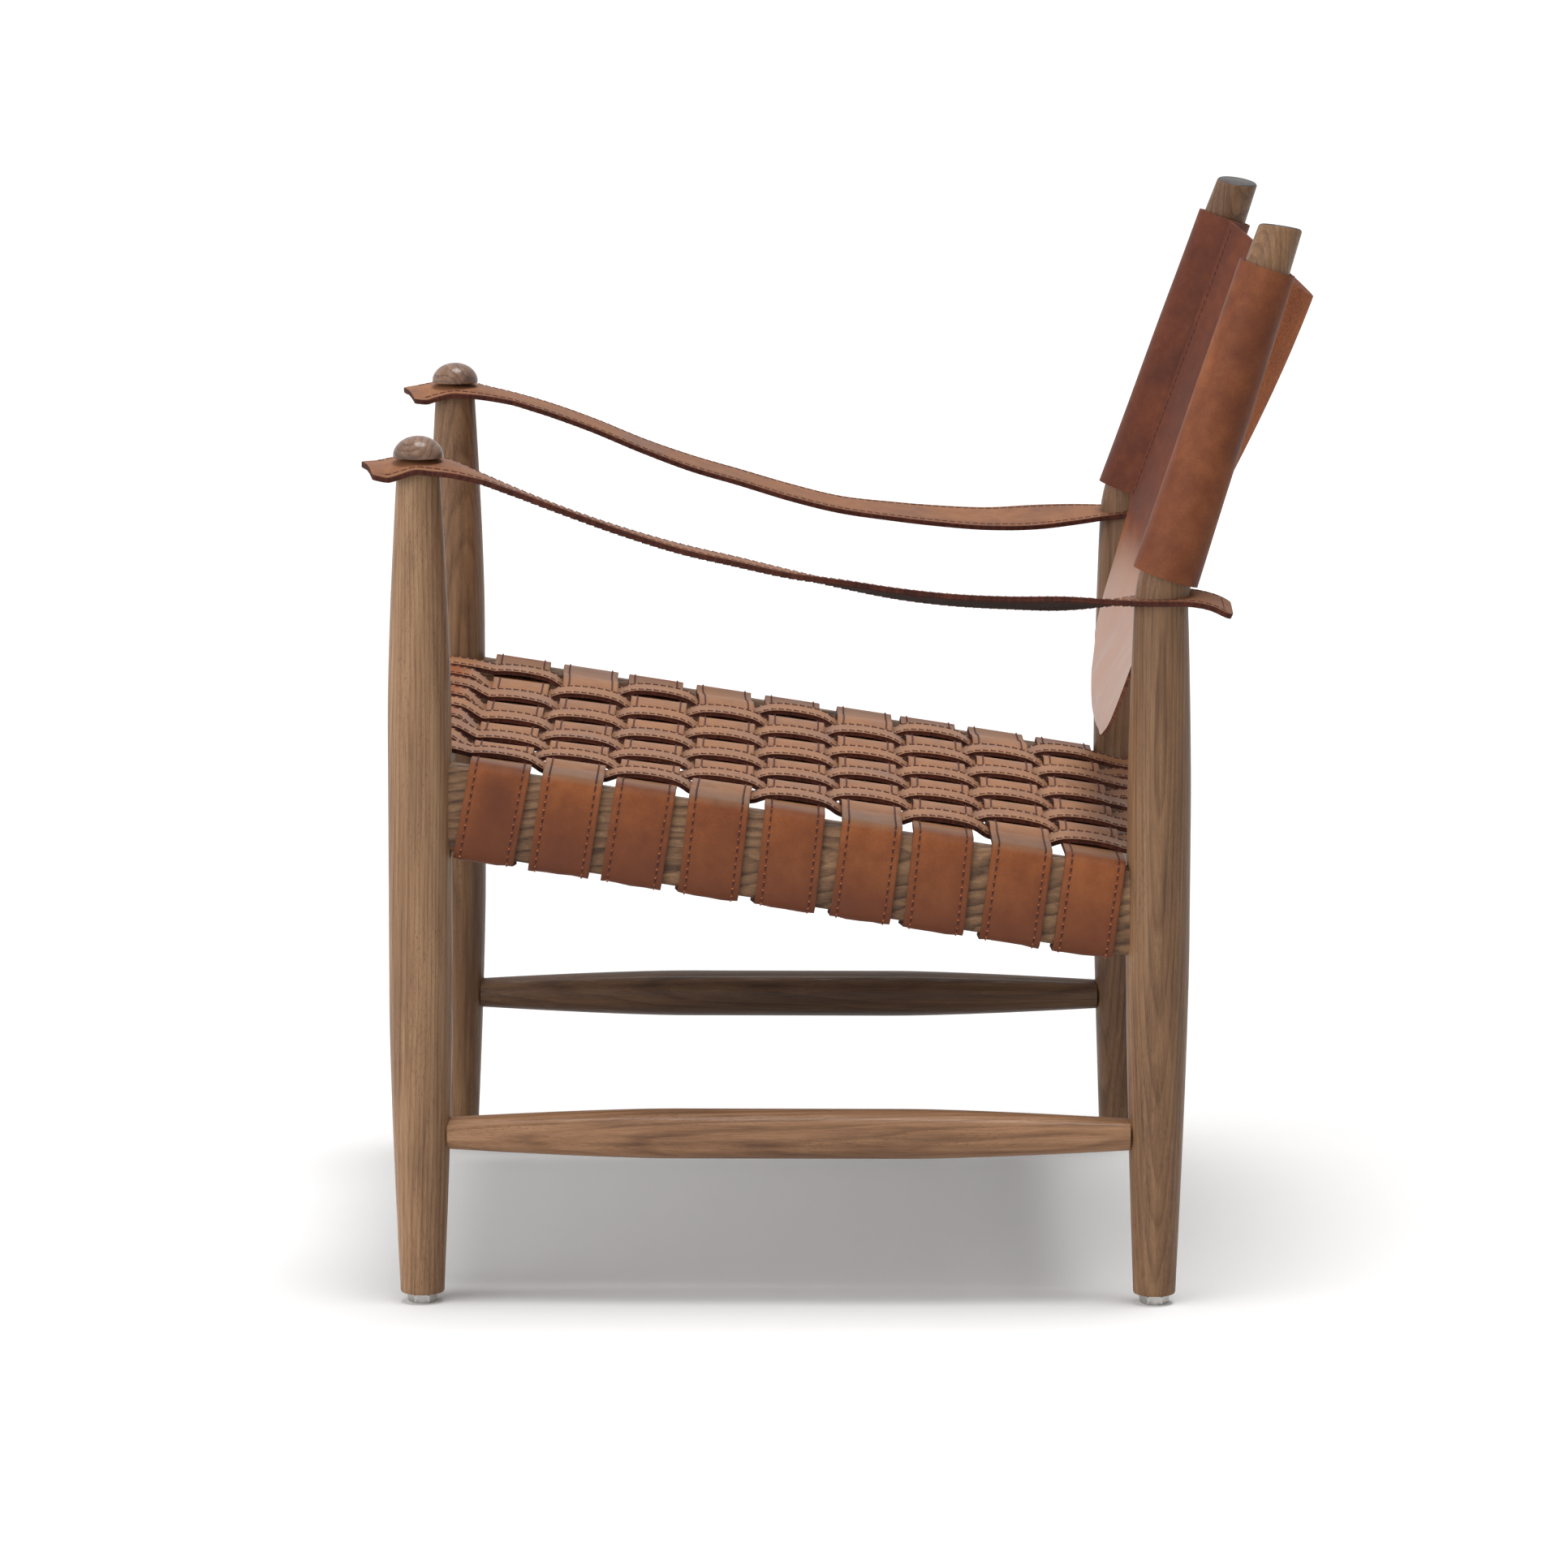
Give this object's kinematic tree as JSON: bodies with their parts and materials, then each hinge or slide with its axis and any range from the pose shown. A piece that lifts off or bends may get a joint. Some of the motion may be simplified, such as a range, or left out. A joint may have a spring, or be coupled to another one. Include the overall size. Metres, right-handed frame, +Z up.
{
  "type": "lounge armchair",
  "caption": "Low lounge armchair: turned wooden frame, woven leather strap seat, leather sling back hung on the rear posts and leather strap arms, on adjustable feet.",
  "frame": {"origin": "on the floor, under the middle of the whole chair's bounding box", "axes": "+X to the sitter's left, +Y towards the back, +Z up; the chair faces -Y"},
  "size_m": [0.6342, 0.7124, 0.7989],
  "materials": {
    "frame_wood": "open-grained hardwood stained mid brown, satin",
    "knob_wood": "dark stained hardwood, polished semi-gloss",
    "strap_leather": "thick vegetable-tanned leather, two layers stitched along both edges, worn satin",
    "sling_leather": "thick leather, mottled smooth front and suede back",
    "foot_steel": "nickel-plated steel, satin",
    "insert_brass": "plain machined brass"
  },
  "bodies": {
    "chair": {"front_leg_left": "frame_wood", "leveller_insert_front_left": "insert_brass", "rear_leg_left": "frame_wood", "leveller_insert_rear_left": "insert_brass", "arm_knob_left": "knob_wood", "knob_stud_left": "foot_steel", "side_stretcher_left": "frame_wood", "arm_strap_left": "strap_leather", "front_leg_right": "frame_wood", "leveller_insert_front_right": "insert_brass", "rear_leg_right": "frame_wood", "leveller_insert_rear_right": "insert_brass", "arm_knob_right": "knob_wood", "knob_stud_right": "foot_steel", "side_stretcher_right": "frame_wood", "arm_strap_right": "strap_leather", "side_rail_left": "frame_wood", "side_rail_right": "frame_wood", "front_rail": "frame_wood", "rear_rail": "frame_wood", "cross_strap_1": "strap_leather", "long_strap_1": "strap_leather", "cross_strap_2": "strap_leather", "long_strap_2": "strap_leather", "cross_strap_3": "strap_leather", "long_strap_3": "strap_leather", "cross_strap_4": "strap_leather", "long_strap_4": "strap_leather", "cross_strap_5": "strap_leather", "long_strap_5": "strap_leather", "cross_strap_6": "strap_leather", "long_strap_6": "strap_leather", "cross_strap_7": "strap_leather", "long_strap_7": "strap_leather", "cross_strap_8": "strap_leather", "long_strap_8": "strap_leather", "cross_strap_9": "strap_leather", "long_strap_9": "strap_leather", "back_sling": "sling_leather"},
    "leveller_front_left": {"leveller_front_left": "foot_steel"},
    "leveller_rear_left": {"leveller_rear_left": "foot_steel"},
    "leveller_front_right": {"leveller_front_right": "foot_steel"},
    "leveller_rear_right": {"leveller_rear_right": "foot_steel"}
  },
  "joints": [
    {"name": "leveller_front_left_slide", "type": "slide", "parent": "chair", "child": "leveller_front_left", "axis": [0, 0, -1], "range_m": [0, 0.008]},
    {"name": "leveller_rear_left_slide", "type": "slide", "parent": "chair", "child": "leveller_rear_left", "axis": [0, 0, -1], "range_m": [0, 0.008]},
    {"name": "leveller_front_right_slide", "type": "slide", "parent": "chair", "child": "leveller_front_right", "axis": [0, 0, -1], "range_m": [0, 0.008]},
    {"name": "leveller_rear_right_slide", "type": "slide", "parent": "chair", "child": "leveller_rear_right", "axis": [0, 0, -1], "range_m": [0, 0.008]}
  ]
}
